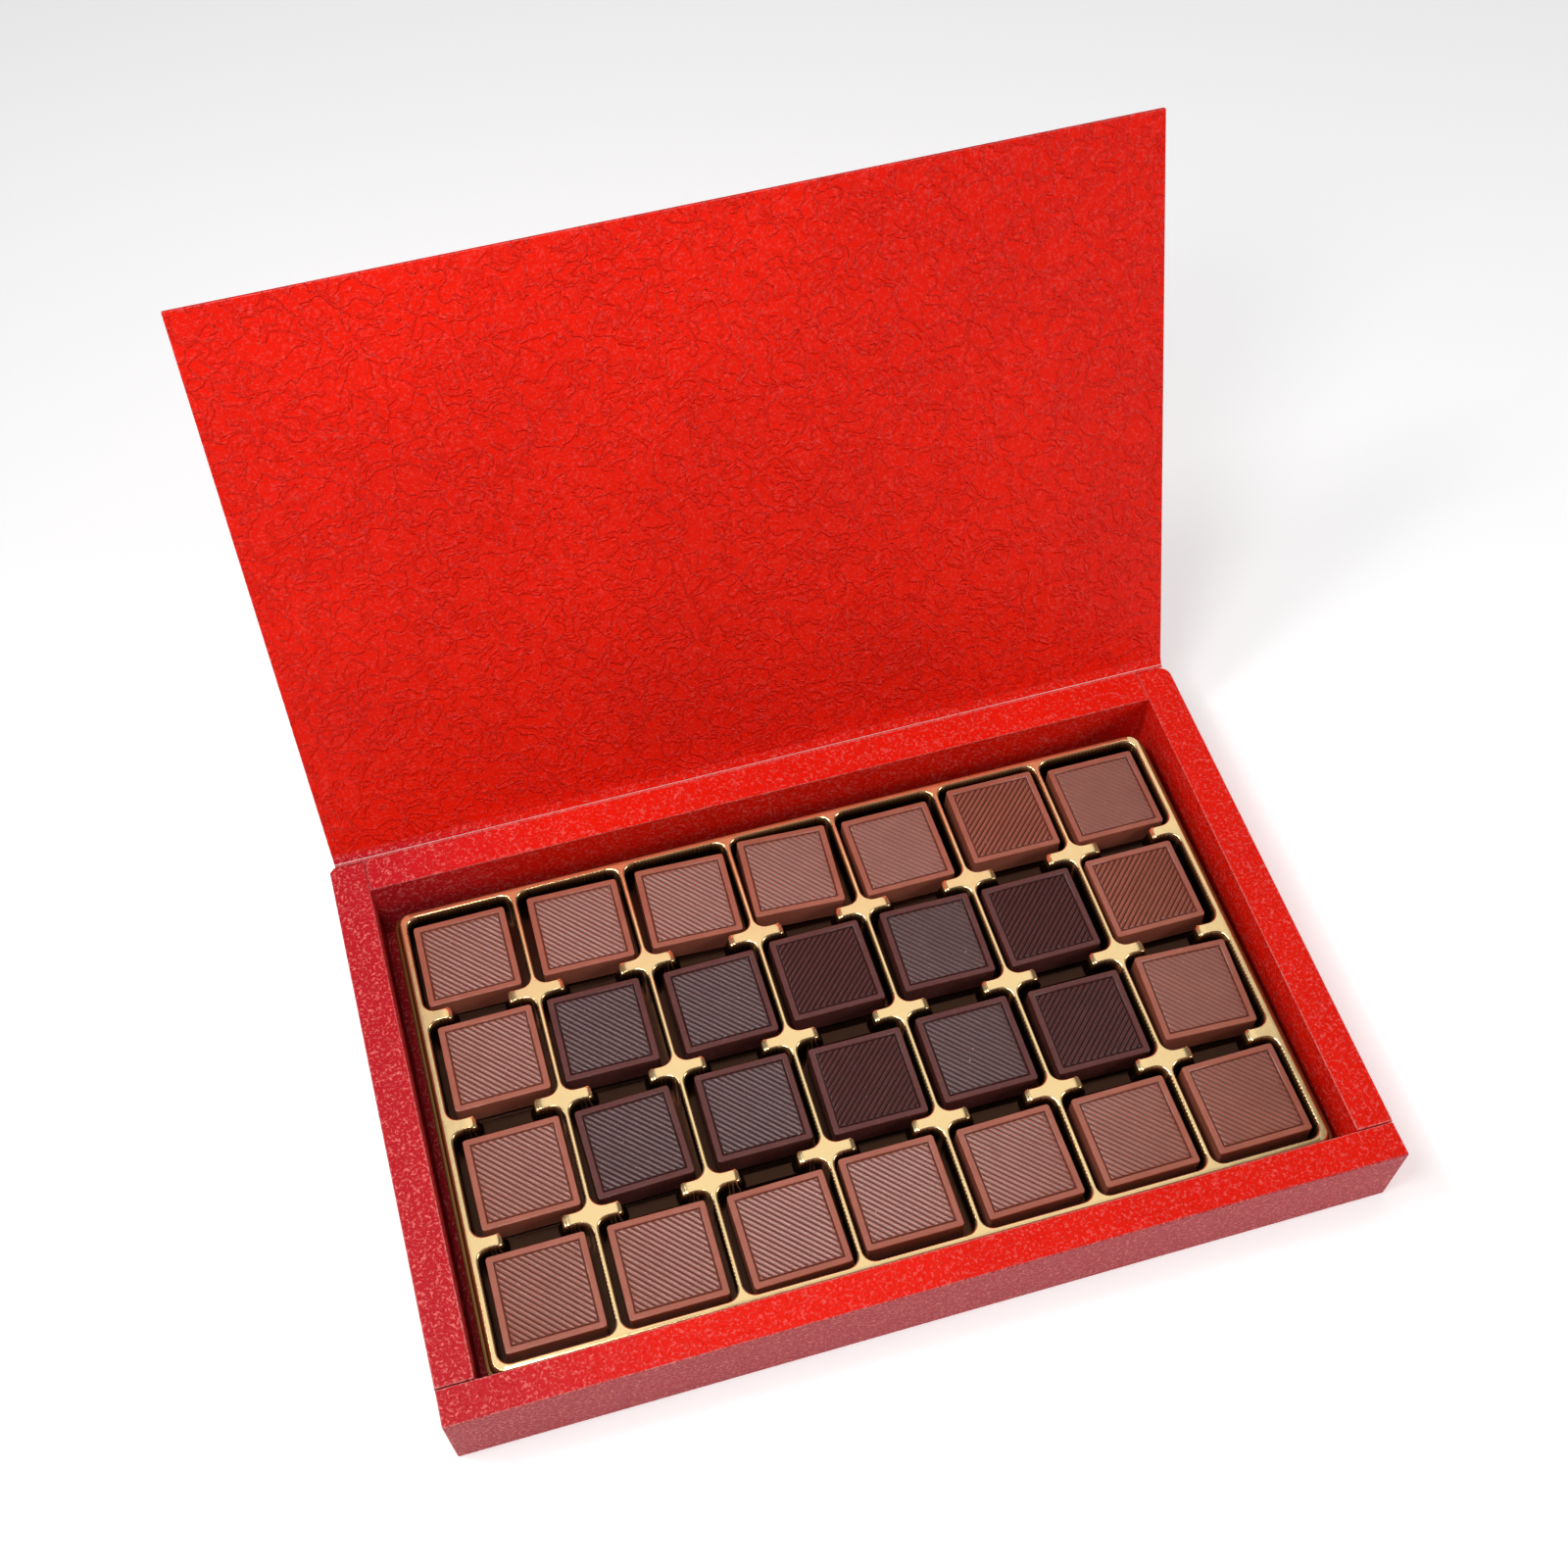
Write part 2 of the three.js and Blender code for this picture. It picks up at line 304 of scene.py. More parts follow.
@dataclass(frozen=True)
class RedCard:
    """Coated red paper with an embossed leather grain, rubbed pale at its worn edges."""

    name: str = "red_card"
    colour: Colour = (0.86, 0.010, 0.001)
    # deep takes both random tone and painted shade in the wrinkles' creases.
    deep: Colour = (0.66, 0.006, 0.001)
    # Painted shade: the plum that the carton's left end and front face darken towards.
    plum_shade: Colour = (0.42, 0.012, 0.026)
    # Painted glints on the grain's worms.
    glint: Colour = (0.90, 0.20, 0.18)
    pale: Colour = (0.80, 0.36, 0.32)
    worm_size: float = 1.5 * MM
    worm_width: float = 0.10
    worm_depth: float = 0.10 * MM
    wrinkle_size: float = 6 * MM
    wrinkle_width: float = 0.06
    wrinkle_depth: float = 0.3 * MM
    pit_size: float = 0.4 * MM
    pit_depth: float = 0.03 * MM
    wave_size: float = 60 * MM
    wave_band: Band = (0.35, 0.7)
    spot_size: float = 1.1 * MM
    spot_band: Band = (0.44, 0.62)
    rub_size: float = 0.9 * MM
    rub_band: Band = (0.36, 0.60)
    # Painted plum shade darkens the paper at the carton's left end and on its front face.
    left_band: Band = (-65 * MM, -138 * MM)
    face_band: Band = (-90.7 * MM, -91.2 * MM)
    base_band: Band = (33 * MM, 30 * MM)
    wave_share: float = 0.4
    # How much painted shade the wrinkles' creases take.
    crease_shade_share: float = 0.3
    left_shade_share: float = 0.75
    face_shade_share: float = 0.9
    rub_share: float = 0.85
    # How much painted glint the grain gets on the lid, and what the carton and its shaded parts add.
    lid_glint: float = 0.15
    base_glint: float = 0.3
    shaded_glint: float = 0.4
    face_glint: float = 0.7
    # How much flatter the wrinkles are on the stiff carton.
    base_flat: float = 0.8
    roughness: float = 0.34
    pit_rough: float = 0.12
    worm_shine: float = 0.06
    rub_rough: float = 0.25
    specular: float = 0.11

    def build(self) -> bpy.types.Material:
        """Makes the material."""
        paint = Paint(self.name)
        worm = paint.lines(self.worm_size, self.worm_width, detail=1, distortion=0.4)
        wrinkle = paint.lines(self.wrinkle_size, self.wrinkle_width, detail=3, distortion=0.8)
        pits = paint.noise(self.pit_size)
        tone = paint.noise(self.wave_size).band(*self.wave_band)
        on_base = paint.along("Z").band(*self.base_band)
        left = paint.along("X").band(*self.left_band) * on_base
        face = paint.along("Y").band(*self.face_band)
        shaded_parts = left.math("MAXIMUM", face * self.face_glint)
        spots = paint.noise(self.spot_size, distortion=0.3).band(*self.spot_band) * worm
        rubbed = paint.noise(self.rub_size, detail=4, distortion=0.4, roughness=0.7)
        rub = rubbed.band(*self.rub_band) * paint.attribute(WEAR)
        crease = wrinkle * (1 - on_base * self.base_flat)
        # The deep colour gives random tone and painted shade in the wrinkles' creases.
        colour = paint.mix(tone * self.wave_share + crease * self.crease_shade_share, self.colour, self.deep)
        # Painted plum shade at the carton's left end and on its front face.
        painted_shade = (left * self.left_shade_share).math("MAXIMUM", face * self.face_shade_share)
        colour = paint.mix(painted_shade, colour, self.plum_shade)
        # Painted glints on the grain, strongest on the carton's shaded parts.
        glint = on_base * self.base_glint + self.lid_glint + shaded_parts * self.shaded_glint
        colour = paint.mix(spots * glint, colour, self.glint)
        colour = paint.mix(rub * self.rub_share, colour, self.pale)
        normal = paint.bump(pits, self.pit_depth)
        normal = paint.bump(worm, self.worm_depth, normal)
        normal = paint.bump(crease, self.wrinkle_depth, normal)
        rough = self.roughness + pits * self.pit_rough - worm * self.worm_shine + rub * self.rub_rough
        shine = self.specular
        return paint.close(Base_Color=colour, Roughness=rough, Normal=normal, Specular_IOR_Level=shine)


@dataclass(frozen=True)
class GoldFilm:
    """Metallised film, bright on top, with painted shade that browns and darkens it down into the pockets.
    """

    name: str = "gold_film"
    # bright, amber and deep step down the walls with depth as painted shade.
    bright: Colour = (0.94, 0.69, 0.34)
    amber: Colour = (0.38, 0.185, 0.05)
    deep: Colour = (0.036, 0.015, 0.008)
    top: float = 20.8 * MM
    bright_drop: float = 0.9 * MM
    amber_drop: float = 1.9 * MM
    shade_drop: float = 4 * MM
    dent_size: float = 5 * MM
    dent_depth: float = 0.05 * MM
    dent_rough: float = 0.1
    grain_size: float = 0.5 * MM
    grain_depth: float = 0.004 * MM
    roughness: float = 0.17
    metallic: float = 0.92

    def build(self) -> bpy.types.Material:
        """Makes the material."""
        paint = Paint(self.name)
        # Painted shade: the film turns amber and then dark with depth below the top.
        drop = self.top - paint.along("Z")
        upper = paint.mix(drop.band(self.bright_drop, self.amber_drop), self.bright, self.amber)
        colour = paint.mix(drop.band(self.amber_drop, self.shade_drop), upper, self.deep)
        dents = paint.noise(self.dent_size, detail=3)
        normal = paint.bump(dents, self.dent_depth)
        normal = paint.bump(paint.noise(self.grain_size), self.grain_depth, normal)
        rough = self.roughness + dents * self.dent_rough
        return paint.close(Base_Color=colour, Metallic=self.metallic, Roughness=rough, Normal=normal)


@dataclass(frozen=True)
class Chocolate:
    """Moulded chocolate: a soft satin with fine grain, faint bloom and pale specks.

    colour and light are its two tones, shade is the painted shade down in the grooves, and
    bloom that of the haze and the specks.
    """

    name: str
    colour: Colour
    light: Colour
    shade: Colour
    bloom: Colour
    roughness: float
    specular: float
    cloud_size: float = 9 * MM
    cloud_band: Band = (0.35, 0.7)
    cloud_share: float = 0.7
    grain_size: float = 0.35 * MM
    grain_band: Band = (0.35, 0.65)
    grain_share: float = 0.3
    grain_depth: float = 0.045 * MM
    grain_rough: float = 0.12
    haze_size: float = 1.6 * MM
    haze_band: Band = (0.52, 0.78)
    haze_share: float = 0.10
    speck_gap: float = 1.5 * MM
    speck_band: Band = (0.13, 0.05)
    speck_share: float = 0.35
    # How much painted shade the grooves take.
    groove_shade_share: float = 0.9
    groove_rough: float = 0.25
    refraction: float = 1.46

    def build(self) -> bpy.types.Material:
        """Makes the material."""
        paint = Paint(self.name)
        cloud = paint.noise(self.cloud_size, detail=3, distortion=0.5).band(*self.cloud_band)
        grain = paint.noise(self.grain_size, detail=3, roughness=0.7)
        haze = paint.noise(self.haze_size, detail=4, distortion=0.3, roughness=0.65).band(*self.haze_band)
        specks = paint.specks(self.speck_gap).band(*self.speck_band)
        groove = paint.attribute(GROOVE)
        tone = cloud * self.cloud_share + grain.band(*self.grain_band) * self.grain_share
        colour = paint.mix(tone, self.colour, self.light)
        colour = paint.mix(haze * self.haze_share + specks * self.speck_share, colour, self.bloom)
        # Painted shade down in the ridges' grooves.
        colour = paint.mix(groove * self.groove_shade_share, colour, self.shade)
        rough = self.roughness + grain * self.grain_rough + groove * self.groove_rough
        return paint.close(
            Base_Color=colour,
            Roughness=rough,
            Normal=paint.bump(grain, self.grain_depth),
            IOR=self.refraction,
            Specular_IOR_Level=self.specular,
        )


MILK = Chocolate(
    name="milk_chocolate",
    colour=(0.34, 0.096, 0.056),
    light=(0.40, 0.120, 0.074),
    shade=(0.10, 0.020, 0.011),
    bloom=(0.60, 0.34, 0.26),
    roughness=0.16,
    specular=0.55,
)
DARK = Chocolate(
    name="dark_chocolate",
    colour=(0.098, 0.027, 0.023),
    light=(0.120, 0.035, 0.030),
    shade=(0.016, 0.004, 0.004),
    bloom=(0.36, 0.22, 0.20),
    roughness=0.18,
    specular=0.38,
)
CRUMB = Chocolate(
    name="chocolate_crumb",
    colour=(0.42, 0.16, 0.10),
    light=(0.75, 0.55, 0.44),
    shade=(0.12, 0.026, 0.015),
    bloom=(0.85, 0.75, 0.65),
    roughness=0.4,
    specular=0.4,
)


# Mesh helpers


def block(bm: Mesh, low: Sequence[float], high: Sequence[float]) -> list[Vert]:
    """Adds a block between two corners.

    Args:
        bm: the mesh that it is added to.
        low: the lowest corner.
        high: the highest corner.

    Returns:
        Its vertices.
    """
    verts = bmesh.ops.create_cube(bm, size=1)["verts"]
    lowest, highest = Vector(low), Vector(high)
    bmesh.ops.scale(bm, vec=highest - lowest, verts=verts)
    bmesh.ops.translate(bm, vec=(highest + lowest) / 2, verts=verts)
    return verts


def edges_of(verts: Iterable[Vert]) -> list[Edge]:
    """The edges whose two ends are both among the vertices."""
    chosen = set(verts)
    return list({edge for vert in chosen for edge in vert.link_edges if edge.other_vert(vert) in chosen})


def edges_where(bm: Mesh, test: Callable[[Vector], bool]) -> list[Edge]:
    """The edges whose two ends both pass a test of their place."""
    return [edge for edge in bm.edges if all(test(vert.co) for vert in edge.verts)]


def soften(bm: Mesh, edges: Iterable[Edge], radius: float, segments: int = 3) -> None:
    """Rounds edges over."""
    bmesh.ops.bevel(
        bm,
        geom=list(edges),
        offset=radius,
        offset_type="OFFSET",
        segments=segments,
        profile=0.5,
        affect="EDGES",
        clamp_overlap=True,
        material=-1,
    )


def on_an_edge(vert: Vert) -> bool:
    """Whether a vertex has only narrow faces around it, as on a rounded edge."""
    return all(min(edge.calc_length() for edge in face.edges) < ROUNDED_WIDTH for face in vert.link_faces)


def rounded(share: float) -> float:
    """How high a quarter circle stands at a share of its width, with its top at 1."""
    within = min(1.0, max(0.0, share))
    return math.sqrt(1 - (1 - within) ** 2)


@dataclass
class Maker:
    """Turns finished meshes into pieces that ride on a body."""

    materials: dict[str, bpy.types.Material] = field(default_factory=dict)

    def finish_of(self, finish: Finish) -> bpy.types.Material:
        """The material of a finish, built once."""
        if finish.name not in self.materials:
            self.materials[finish.name] = finish.build()
        return self.materials[finish.name]

    def piece(
        self,
        name: str,
        bm: Mesh,
        finish: Finish,
        slot: Slot,
        body: str,
        stands_for: Sequence[str] = (),
        sharp_deg: float = 40,
        wear: Callable[[Vector], float] | None = None,
    ) -> None:
        """Ends a mesh as a piece of the object.

        Args:
            name: the piece's name.
            bm: its mesh in millimetres, which is freed.
            finish: what it is covered with.
            slot: the record's slot for that finish; not used.
            body: the body that it rides on.
            stands_for: the nodes that it replaces.
            sharp_deg: edges that turn more than this stay crisp.
            wear: gives how worn a rounded edge is at a place, from 0 to 1.
        """
        if wear:
            layer = bm.verts.layers.float.new(WEAR)
            for vert in bm.verts:
                if on_an_edge(vert):
                    vert[layer] = wear(vert.co)
        limit = math.radians(sharp_deg)
        for face in bm.faces:
            face.smooth = True
        for edge in bm.edges:
            edge.smooth = len(edge.link_faces) == 2 and edge.calc_face_angle(0) < limit
        bmesh.ops.scale(bm, vec=(MM, MM, MM), verts=bm.verts)
        mesh = bpy.data.meshes.new(name)
        bm.to_mesh(mesh)
        bm.free()
        mesh.materials.append(self.finish_of(finish))
        made = bpy.data.objects.new(name, mesh)
        bpy.context.scene.collection.objects.link(made)
        weighted = made.modifiers.new("even_shading", "WEIGHTED_NORMAL")
        weighted.keep_sharp = True
        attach(made, body)
        if stands_for:
            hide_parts(*stands_for)
        log.info("%s: %d faces, %s", name, len(mesh.polygons), body)


# The carton


@dataclass(frozen=True)
class WornSpot:
    """A place where edges are rubbed more: its middle, its reach, and the wear at its middle."""

    middle: Place
    reach: float
    wear: float

    def at(self, place: Vector) -> float:
        """How rubbed this spot makes an edge at a place."""
        return self.wear * max(0.0, 1 - (place - Vector(self.middle)).length / self.reach)


@dataclass(frozen=True)
class Carton:
    """The wide-walled red carton, its seams and the hinge flap on its back wall."""

    width: float = 280
    length: float = 182.6
    height: float = 28.7
    board: float = 1.6
    side_wall: float = 11
    front_wall: float = 10.6
    back_wall: float = 11.6
    back_splay: float = 1.75
    left_cut: float = 1.5
    right_round: float = 4
    flap_rise: float = 0.4
    flap_gap: float = 0.6
    flap_board: float = 0.5
    flap_lap: float = 0.05
    flap_edge: float = 0.15
    flap_wear: float = 0.5
    seam: float = 0.35
    edge: float = 0.45
    edge_wear: float = 0.22
    seam_wear: float = 0.55
    seam_reach: float = 0.8
    # The front wall's left end and the back right corner are rubbed most.
    worn_spots: tuple[WornSpot, ...] = (
        WornSpot((-139, -84, 26), 16, 1),
        WornSpot((140, 90, 28), 10, 1.2),
    )

    @property
    def front(self) -> float:
        """The outer face of the front wall."""
        return -self.length / 2

    @property
    def back(self) -> float:
        """The outer face of the back wall."""
        return self.length / 2

    def half_width(self, y: float) -> float:
        """Half the width at a place along the length, as the side walls open out to the back."""
        return self.width / 2 + self.back_splay * (y / self.length + 0.5)

    @property
    def back_inner(self) -> float:
        """The inner face of the back wall."""
        return self.back - self.back_wall

    def _edge_wear(self, place: Vector) -> float:
        """How rubbed the carton's edges are at a place, from 0 to 1."""
        by_seam = abs(place.y - (self.front + self.front_wall)) < self.seam_reach
        wear = self.edge_wear + (self.seam_wear if by_seam else 0)
        return min(1.0, wear + sum(spot.at(place) for spot in self.worn_spots))

    def _round_rim(self, bm: Mesh) -> None:
        """Rounds over the edges at the top of a wall."""
        soften(bm, edges_where(bm, lambda co: co.z > self.height - 1), self.edge)

    def _front_strip(self) -> Mesh:
        """The front wall, which runs the full width."""
        bm = bmesh.new()
        half = self.half_width(self.front)
        block(bm, (-half, self.front, 0), (half, self.front + self.front_wall, self.height))
        soften(bm, bm.edges[:], self.edge)
        return bm

    def _side_strip(self, side: int) -> Mesh:
        """A side wall, which opens out to the back and butts on the front wall.

        Args:
            side: -1 for the left one and 1 for the right one.

        Returns:
            Its mesh.
        """
        bm = bmesh.new()
        start = self.front + self.front_wall + self.seam
        for vert in block(bm, (0, start, 0), (self.side_wall, self.back, self.height)):
            vert.co.x = side * (self.half_width(vert.co.y) - self.side_wall + vert.co.x)
        bmesh.ops.recalc_face_normals(bm, faces=bm.faces[:])
        reach = self.half_width(self.back) - 1
        corner = edges_where(bm, lambda co: co.y > self.back - 1 and side * co.x > reach)
        if side > 0:
            soften(bm, corner, self.right_round, 6)
        else:
            soften(bm, corner, self.left_cut, 1)
        self._round_rim(bm)
        return bm

    def _back_wall(self) -> Mesh:
        """The back wall between the side walls."""
        bm = bmesh.new()
        half = self.half_width(self.back_inner) - self.side_wall
        block(bm, (-half, self.back_inner, 0), (half, self.back, self.height))
        self._round_rim(bm)
        return bm

    def _flap(self) -> Mesh:
        """The hinge flap glued on the back wall."""
        bm = bmesh.new()
        half = self.half_width(self.back_inner) - self.side_wall - self.flap_gap
        top = self.height + self.flap_rise
        block(bm, (-half, self.back_inner - self.flap_lap, top - self.flap_board), (half, self.back, top))
        soften(bm, bm.edges[:], self.flap_edge)
        return bm

    def _floor(self) -> Mesh:
        """The carton's floor, as wide at either end as the side walls leave it."""
        bm = bmesh.new()
        verts = block(bm, (-1, self.front + self.front_wall, 0), (1, self.back_inner, self.board))
        for vert in verts:
            vert.co.x *= self.half_width(vert.co.y) - self.side_wall
        return bm

    def dress(self, maker: Maker) -> None:
        """Adds the carton's pieces."""
        card = RedCard()
        worn = self._edge_wear
        maker.piece("front_wall", self._front_strip(), card, Slot.CARD, CARTON, ["carton_base"], wear=worn)
        maker.piece("left_wall", self._side_strip(-1), card, Slot.CARD, CARTON, wear=worn)
        maker.piece("right_wall", self._side_strip(1), card, Slot.CARD, CARTON, wear=worn)
        maker.piece("back_wall", self._back_wall(), card, Slot.CARD, CARTON, wear=worn)
        maker.piece("hinge_flap", self._flap(), card, Slot.CARD, CARTON, wear=lambda place: self.flap_wear)
        maker.piece("carton_floor", self._floor(), card, Slot.CARD, CARTON)


@dataclass(frozen=True)
class Lid:
    """The flat lid panel and the narrow strip between its two creases."""

    carton: Carton
    width: float = 279.8
    length: float = 178.4
    board: float = 1.5
    strip: float = 3.3
    strip_board: float = 1
    strip_start: float = 0.55
    strip_rise: float = 51.3
    strip_inset: float = 0.1
    strip_edge: float = 0.15
    # How far the strip runs in under the panel, as a share of its board.
    strip_lap: float = 0.6
    strip_wear: float = 0.6
    lid_rise: float = 68.3
    lid_edge: float = 0.3
    edge_wear: float = 0.3
    crease_wear: float = 0.8
    crease_top: float = 34
    bead: float = 0.5
    bead_inset: float = 0.2
    bead_wear: float = 0.35
    bead_sides: int = 16

    def _place(self, bm: Mesh, rise: float, shift: Vector) -> None:
        """Turns a flat sheet up about its front edge and puts it on the hinge.

        Args:
            bm: the sheet, its front edge on the X axis.
            rise: how far it is turned up, in degrees.
            shift: where its front edge is, from the hinge.
        """
        axis = Vector((0, self.carton.back, self.carton.height + self.carton.flap_rise))
        turn = Matrix.Rotation(math.radians(rise), 4, "X")
        bmesh.ops.transform(bm, matrix=Matrix.Translation(axis + shift) @ turn, verts=bm.verts)

    def _panel(self) -> Mesh:
        """The lid's large panel."""
        bm = bmesh.new()
        block(bm, (-self.width / 2, 0, -self.board), (self.width / 2, self.length, 0))
        soften(bm, bm.edges[:], self.lid_edge)
        rise = math.radians(self.strip_rise)
        self._place(bm, self.lid_rise, Vector((0, math.cos(rise), math.sin(rise))) * self.strip)
        return bm

    def _strip(self) -> Mesh:
        """The strip between the creases, as wide as the lid."""
        bm = bmesh.new()
        half = self.width / 2 - self.strip_inset
        end = self.strip + self.strip_board * self.strip_lap
        block(bm, (-half, self.strip_start, -self.strip_board), (half, end, 0))
        soften(bm, bm.edges[:], self.strip_edge)
        self._place(bm, self.strip_rise, Vector())
        return bm

    def _bead(self) -> Mesh:
        """The rounded fold of paper in the lower crease, which looks alike however the lid stands."""
        bm = bmesh.new()
        bmesh.ops.create_cone(
            bm,
            cap_ends=True,
            segments=self.bead_sides,
            radius1=self.bead,
            radius2=self.bead,
            depth=self.width - 2 * self.bead_inset,
        )
        bmesh.ops.rotate(bm, matrix=Matrix.Rotation(math.radians(90), 3, "Y"), verts=bm.verts)
        self._place(bm, 0, Vector((0, -self.bead / 10, 0)))
        return bm

    def _panel_wear(self, place: Vector) -> float:
        """How rubbed the panel's edges are at a place: most along the crease."""
        return self.crease_wear if place.z < self.crease_top else self.edge_wear

    def dress(self, maker: Maker) -> None:
        """Adds the lid's pieces, and the bead, which stays with the carton."""
        card = RedCard()
        maker.piece("lid_panel", self._panel(), card, Slot.CARD, LID, ["carton_lid"], wear=self._panel_wear)
        maker.piece("hinge_strip", self._strip(), card, Slot.CARD, LID, wear=lambda place: self.strip_wear)
        maker.piece("crease_bead", self._bead(), card, Slot.CARD, CARTON, wear=lambda place: self.bead_wear)


# The tray


@dataclass(frozen=True)
class WallPoint:
    """A point of a pocket's outline, with what the wall does there.

    place is on the full wall, out points into the plastic, flute is how deep the fluting is
    there from 0 to 1, and bar is the middle of the row bar whose arm the point belongs to.
    """

    place: Vector
    out: Vector
    flute: float = 0
    bar: float | None = None


@dataclass(frozen=True)
class Level:
    """A depth below the tray's top, and how far round the lip it is, from 0 to 1."""

    depth: float
    turn: float


@dataclass(frozen=True)
class Tray:
    """The formed gold tray: a pocket for each chocolate, row bars with arms, and a ledge."""

    columns: int = 7
    rows: int = 4
    pitch_x: float = 35.17
    pitch_y: float = 37.78
    middle_y: float = -2.7
    top: float = 20.8
    divider: float = 1.7
    row_bar: float = 4
    border: float = 2.1
    border_draft: float = 0.8
    border_corner: float = 3.6
    ledge: float = 1.3
    ledge_drop: float = 3
    pocket_corner: float = 3.4
    pocket_depth: float = 9.3
    pocket_draft: float = 0.1
    arm_reach: float = 8.63
    arm_round: float = 2.4
    arm_drop: float = 1.1
    arm_flare: float = 1.8
    flare_power: float = 2.4
    arm_end_steps: int = 8
    arm_end_round: float = 0.45
    arm_end_power: int = 6
    bridge_drop: float = 6.8
    bridge_lap: float = 0.12
    bridge_root: float = 0.2
    bridge_round: float = 0.4
    lip: float = 0.55
    flute_pitch: float = 1.2
    flute_depth: float = 0.3
    flute_steps: int = 4
    corner_steps: int = 6
    border_steps: int = 8
    base: float = 1.9
    # Points closer than this share a place, and points lower than this aren't in the top.
    near: float = 0.002
    top_band: float = 0.01
    levels: tuple[Level, ...] = (
        Level(0, 0),
        Level(0.07, 0.06),
        Level(0.12, 0.3),
        Level(0.24, 0.6),
        Level(0.46, 0.85),
        Level(0.95, 1),
        Level(3.2, 1),
        Level(5.4, 1),
        Level(7.2, 1),
        Level(9.3, 1),
    )

    @property
    def arm_end_x(self) -> float:
        """How far from the middle of a column the arms to either side of it end."""
        return self.pitch_x / 2 - self.arm_reach

    def pocket_x(self, column: int) -> float:
        """The middle of a column, counted from 1 at the left."""
        return (column - (self.columns + 1) / 2) * self.pitch_x

    def pocket_y(self, row: int) -> float:
        """The middle of a row, counted from 1 at the back."""
        return self.middle_y + ((self.rows + 1) / 2 - row) * self.pitch_y

    def _straight(self, start: Vector, end: Vector, bar: float | None, phase: float) -> list[WallPoint]:
        """A fluted straight stretch, without its last point.

        Args:
            start: where it starts.
            end: where it ends.
            bar: the row bar's middle, if it is the side of an arm.
            phase: how far along a flute it starts, from 0 to 1.

        Returns:
            Its points.
        """
        run = end - start
        flutes = max(1, round(run.length / self.flute_pitch))
        count = flutes * self.flute_steps
        out = Vector((-run.y, run.x)).normalized()
        points = []
        for step in range(count):
            share = step / count
            wave = abs(math.sin(math.pi * (step / self.flute_steps + phase)))
            points.append(WallPoint(start + run * share, out, wave, bar))
        return points

    def _corner(self, middle: Vector, start_deg: float) -> list[WallPoint]:
        """A pocket's round corner, turning clockwise from an angle, without its last point."""
        points = []
        for step in range(self.corner_steps):
            angle = math.radians(start_deg - 90 * step / self.corner_steps)
            out = Vector((math.cos(angle), math.sin(angle)))
            points.append(WallPoint(middle + out * self.pocket_corner, out))
        return points

    def _arm_end(self, x: float, bar: float, down: int) -> list[WallPoint]:
        """The end of an arm, across the row bar.

        Args:
            x: where the arm ends.
            bar: the row bar's middle.
            down: 1 if the outline goes forwards here, -1 if backwards.

        Returns:
            Its points.
        """
        half = self.row_bar / 2
        points = []
        for step in range(self.arm_end_steps + 1):
            share = 1 - 2 * step / self.arm_end_steps
            corner = self.arm_end_round * abs(share) ** self.arm_end_power
            place = Vector((x + down * corner, bar + down * half * share))
            points.append(WallPoint(place, Vector((down, 0)), 0, bar))
        return points

    def _column_outline(self, column: int) -> list[WallPoint]:
        """The outline of a column's pockets and the notches between them, clockwise."""
        half_x = (self.pitch_x - self.divider) / 2
        half_y = (self.pitch_y - self.row_bar) / 2
        inner_x = half_x - self.pocket_corner
        inner_y = half_y - self.pocket_corner
        points: list[WallPoint] = []
        for side in (1, -1):
            rows = list(range(1, self.rows + 1))[::side]
            start_deg = 90 * side
            phase = 0 if side > 0 else 0.5
            inner, wall, arm = side * inner_x, side * half_x, side * self.arm_end_x
            for row in rows:
                y = self.pocket_y(row)
                high, low = y + side * inner_y, y - side * inner_y
                head, foot = y + side * half_y, y - side * half_y
                if row == rows[0]:
                    points += self._straight(Vector((-inner, head)), Vector((inner, head)), None, 0)
                points += self._corner(Vector((inner, high)), start_deg)
                points += self._straight(Vector((wall, high)), Vector((wall, low)), None, phase)
                points += self._corner(Vector((inner, low)), start_deg - 90)
                if row == rows[-1]:
                    continue
                bar = y - side * self.pitch_y / 2
                far = foot - side * self.row_bar
                points += self._straight(Vector((inner, foot)), Vector((arm, foot)), bar, 0)
                points += self._arm_end(arm, bar, side)
                points += self._straight(Vector((arm, far)), Vector((inner, far)), bar, 0)[1:]
        shift = Vector((self.pocket_x(column), 0))
        return [WallPoint(p.place + shift, p.out, p.flute, p.bar) for p in points]

    def _wall_place(self, point: WallPoint, level: Level, column_x: float) -> Vector:
        """Where the wall is at a depth.

        Args:
            point: the outline's point.
            level: the depth.
            column_x: the middle of the column.

        Returns:
            The place, in three dimensions.
        """
        spare = self.lip * (1 - level.turn)
        flute = self.flute_depth * point.flute * level.turn**2
        draft = self.pocket_draft * level.depth / self.pocket_depth
        place = point.place + point.out * (flute - draft)
        if point.bar is None:
            place = place + point.out * spare
            return Vector((*place, self.top - level.depth))
        crease = self.arm_end_x + self.arm_round
        half = self.row_bar / 2
        offset = place.x - column_x
        side = 1 if offset > 0 else -1
        share = rounded(level.depth / self.arm_drop)
        past = crease - abs(offset)
        if past > 0:
            flare = self.arm_flare * min(1.0, level.depth / self.bridge_drop) ** self.flare_power
            offset = side * (crease - past * share - flare * past / self.arm_round)
        y = point.bar + (place.y - point.bar) * (half - spare) / half
        return Vector((column_x + offset, y, self.top - level.depth))

